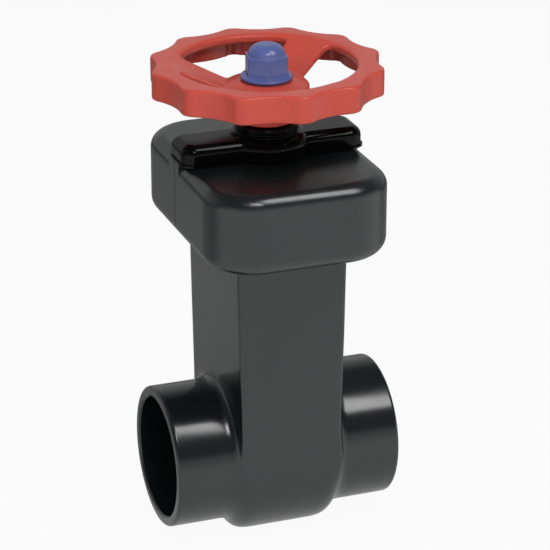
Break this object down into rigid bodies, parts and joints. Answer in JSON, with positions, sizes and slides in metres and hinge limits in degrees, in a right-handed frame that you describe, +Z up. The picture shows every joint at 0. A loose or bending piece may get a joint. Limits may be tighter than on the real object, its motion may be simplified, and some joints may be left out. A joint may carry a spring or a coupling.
{
  "type": "gate valve",
  "caption": "Plastic gate valve with a tall flat body, two coaxial solvent-cement pipe sockets, a two-piece clamp cover, and a lobed handwheel on a non-rising stem.",
  "frame": {"origin": "centre of the valve's footprint, on the flat base under the body, with the stem axis rising through it", "axes": "+X along the pipe from the left socket to the right one, +Y to the back, away from the front clamp shell, +Z up along the stem to the handwheel"},
  "size_m": [0.121, 0.1286, 0.26],
  "materials": {
    "body_plastic": "semi-gloss dark grey moulded PVC",
    "gate_plastic": "smooth grey moulded PVC",
    "bonnet_plastic": "glossy black moulded plastic",
    "wheel_plastic": "satin red moulded ABS",
    "cap_plastic": "satin blue moulded plastic",
    "seal_rubber": "black EPDM",
    "stem_steel": "turned stainless steel",
    "nut_brass": "machined brass"
  },
  "bodies": {
    "housing": {"valve_body": "body_plastic", "body_flange": "body_plastic", "socket_left": "body_plastic", "socket_right": "body_plastic", "seat_left": "seal_rubber", "seat_right": "seal_rubber", "gate": "gate_plastic", "gate_nut": "nut_brass", "bonnet_seal": "seal_rubber", "bonnet": "bonnet_plastic", "clamp_front": "body_plastic", "clamp_back": "body_plastic", "gland_nut": "bonnet_plastic", "stem_seal": "seal_rubber", "thrust_ring": "nut_brass"},
    "wheel": {"stem": "stem_steel", "handwheel": "wheel_plastic", "wheel_washer": "stem_steel", "wheel_nut": "stem_steel", "nut_cap": "cap_plastic"}
  },
  "joints": [
    {"name": "wheel_turn", "type": "hinge", "parent": "housing", "child": "wheel", "pos_m": [0, 0, 0.24], "axis": [0, 0, 1], "range_deg": [-4680, 0]}
  ]
}
